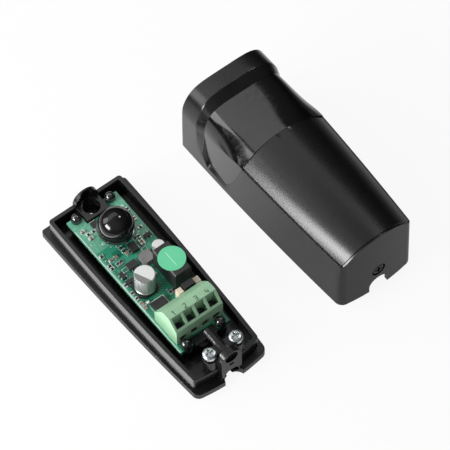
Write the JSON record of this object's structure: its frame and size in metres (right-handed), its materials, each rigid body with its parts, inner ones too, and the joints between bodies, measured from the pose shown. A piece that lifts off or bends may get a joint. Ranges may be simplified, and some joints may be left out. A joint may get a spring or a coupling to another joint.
{
  "type": "gate safety photocell",
  "caption": "Surface-mounted infrared gate safety photocell, opened: a wiring base with its circuit board, and the arched cover with its dark window beside it.",
  "frame": {"origin": "middle of the base's flat back face", "axes": "+Y along the base towards the lens end, +X across the base towards the cover that stands beside it, +Z away from the wall that the base is screwed to"},
  "size_m": [0.1054, 0.0947, 0.0362],
  "materials": {
    "tray_plastic": "satin",
    "cover_plastic": "satin",
    "infrared_plastic": "gloss",
    "board_laminate": "satin",
    "terminal_plastic": "matt",
    "steel": "plated",
    "brass": "tinned",
    "black_epoxy": "matt",
    "aluminium_can": "satin",
    "sticker_film": "satin",
    "ferrite": "matt",
    "ceramic": "matt",
    "led_resin": "clear",
    "header_plastic": "matt"
  },
  "bodies": {
    "base": {"base_tray": "tray_plastic", "circuit_board": "board_laminate", "board_pins": "tray_plastic", "lens_dome": "infrared_plastic", "lens_holder": "tray_plastic", "infrared_detector": "infrared_plastic", "terminal_housing": "terminal_plastic", "terminal_contacts": "brass", "relay": "black_epoxy", "relay_sticker": "sticker_film", "main_capacitor": "aluminium_can", "main_capacitor_foot": "black_epoxy", "small_capacitor": "aluminium_can", "small_capacitor_foot": "black_epoxy", "power_inductor": "ferrite", "black_chips": "black_epoxy", "chip_resistors": "black_epoxy", "chip_capacitors": "ceramic", "status_led": "led_resin", "header_body": "header_plastic", "header_pins": "brass"},
    "cover": {"cover_shell": "cover_plastic", "cover_window": "infrared_plastic"},
    "cover_fixing_screw": {"cover_screw": "steel"},
    "clamp": {"cable_clamp": "tray_plastic"},
    "left_clamp_screw": {"clamp_screw_left": "steel"},
    "right_clamp_screw": {"clamp_screw_right": "steel"},
    "jumper": {"jumper_cap": "black_epoxy"},
    "screw_1": {"terminal_screw_1": "steel"},
    "cage_1": {"terminal_cage_1": "steel"},
    "screw_2": {"terminal_screw_2": "steel"},
    "cage_2": {"terminal_cage_2": "steel"},
    "screw_3": {"terminal_screw_3": "steel"},
    "cage_3": {"terminal_cage_3": "steel"},
    "screw_4": {"terminal_screw_4": "steel"},
    "cage_4": {"terminal_cage_4": "steel"}
  },
  "joints": [
    {"name": "cover_lift", "type": "slide", "parent": "base", "child": "cover", "axis": [0, 0, 1], "range_m": [0, 0.06]},
    {"name": "cover_screw_turn", "type": "hinge", "parent": "cover", "child": "cover_fixing_screw", "pos_m": [0.066, -0.0474, 0.0122], "axis": [0, 1, 0], "continuous": true},
    {"name": "clamp_slide", "type": "slide", "parent": "base", "child": "clamp", "axis": [0, 0, 1], "range_m": [0, 0.003]},
    {"name": "left_clamp_screw_turn", "type": "hinge", "parent": "clamp", "child": "left_clamp_screw", "pos_m": [-0.00592, -0.04, 0.015], "axis": [0, 0, 1], "range_deg": [0, 905]},
    {"name": "right_clamp_screw_turn", "type": "hinge", "parent": "clamp", "child": "right_clamp_screw", "pos_m": [0.00592, -0.04, 0.015], "axis": [0, 0, 1], "range_deg": [0, 905]},
    {"name": "jumper_lift", "type": "slide", "parent": "base", "child": "jumper", "axis": [0, 0, 1], "range_m": [0, 0.004]},
    {"name": "terminal_cage_1_rise", "type": "slide", "parent": "base", "child": "cage_1", "axis": [0, 0, 1], "range_m": [0, 0.0011]},
    {"name": "terminal_screw_1_turn", "type": "hinge", "parent": "base", "child": "screw_1", "pos_m": [-0.00732, -0.0233, 0.013], "axis": [0, 0, -1], "range_deg": [0, 992]},
    {"name": "terminal_cage_2_rise", "type": "slide", "parent": "base", "child": "cage_2", "axis": [0, 0, 1], "range_m": [0, 0.0011]},
    {"name": "terminal_screw_2_turn", "type": "hinge", "parent": "base", "child": "screw_2", "pos_m": [-0.00224, -0.0233, 0.013], "axis": [0, 0, -1], "range_deg": [0, 992]},
    {"name": "terminal_cage_3_rise", "type": "slide", "parent": "base", "child": "cage_3", "axis": [0, 0, 1], "range_m": [0, 0.0011]},
    {"name": "terminal_screw_3_turn", "type": "hinge", "parent": "base", "child": "screw_3", "pos_m": [0.00284, -0.0233, 0.013], "axis": [0, 0, -1], "range_deg": [0, 992]},
    {"name": "terminal_cage_4_rise", "type": "slide", "parent": "base", "child": "cage_4", "axis": [0, 0, 1], "range_m": [0, 0.0011]},
    {"name": "terminal_screw_4_turn", "type": "hinge", "parent": "base", "child": "screw_4", "pos_m": [0.00792, -0.0233, 0.013], "axis": [0, 0, -1], "range_deg": [0, 992]}
  ],
  "couplings": [
    {"joint": "left_clamp_screw_turn", "follows": "clamp_slide", "rad_per_m": 5236},
    {"joint": "right_clamp_screw_turn", "follows": "clamp_slide", "rad_per_m": 5236},
    {"joint": "terminal_screw_1_turn", "follows": "terminal_cage_1_rise", "rad_per_m": 15708},
    {"joint": "terminal_screw_2_turn", "follows": "terminal_cage_2_rise", "rad_per_m": 15708},
    {"joint": "terminal_screw_3_turn", "follows": "terminal_cage_3_rise", "rad_per_m": 15708},
    {"joint": "terminal_screw_4_turn", "follows": "terminal_cage_4_rise", "rad_per_m": 15708}
  ]
}
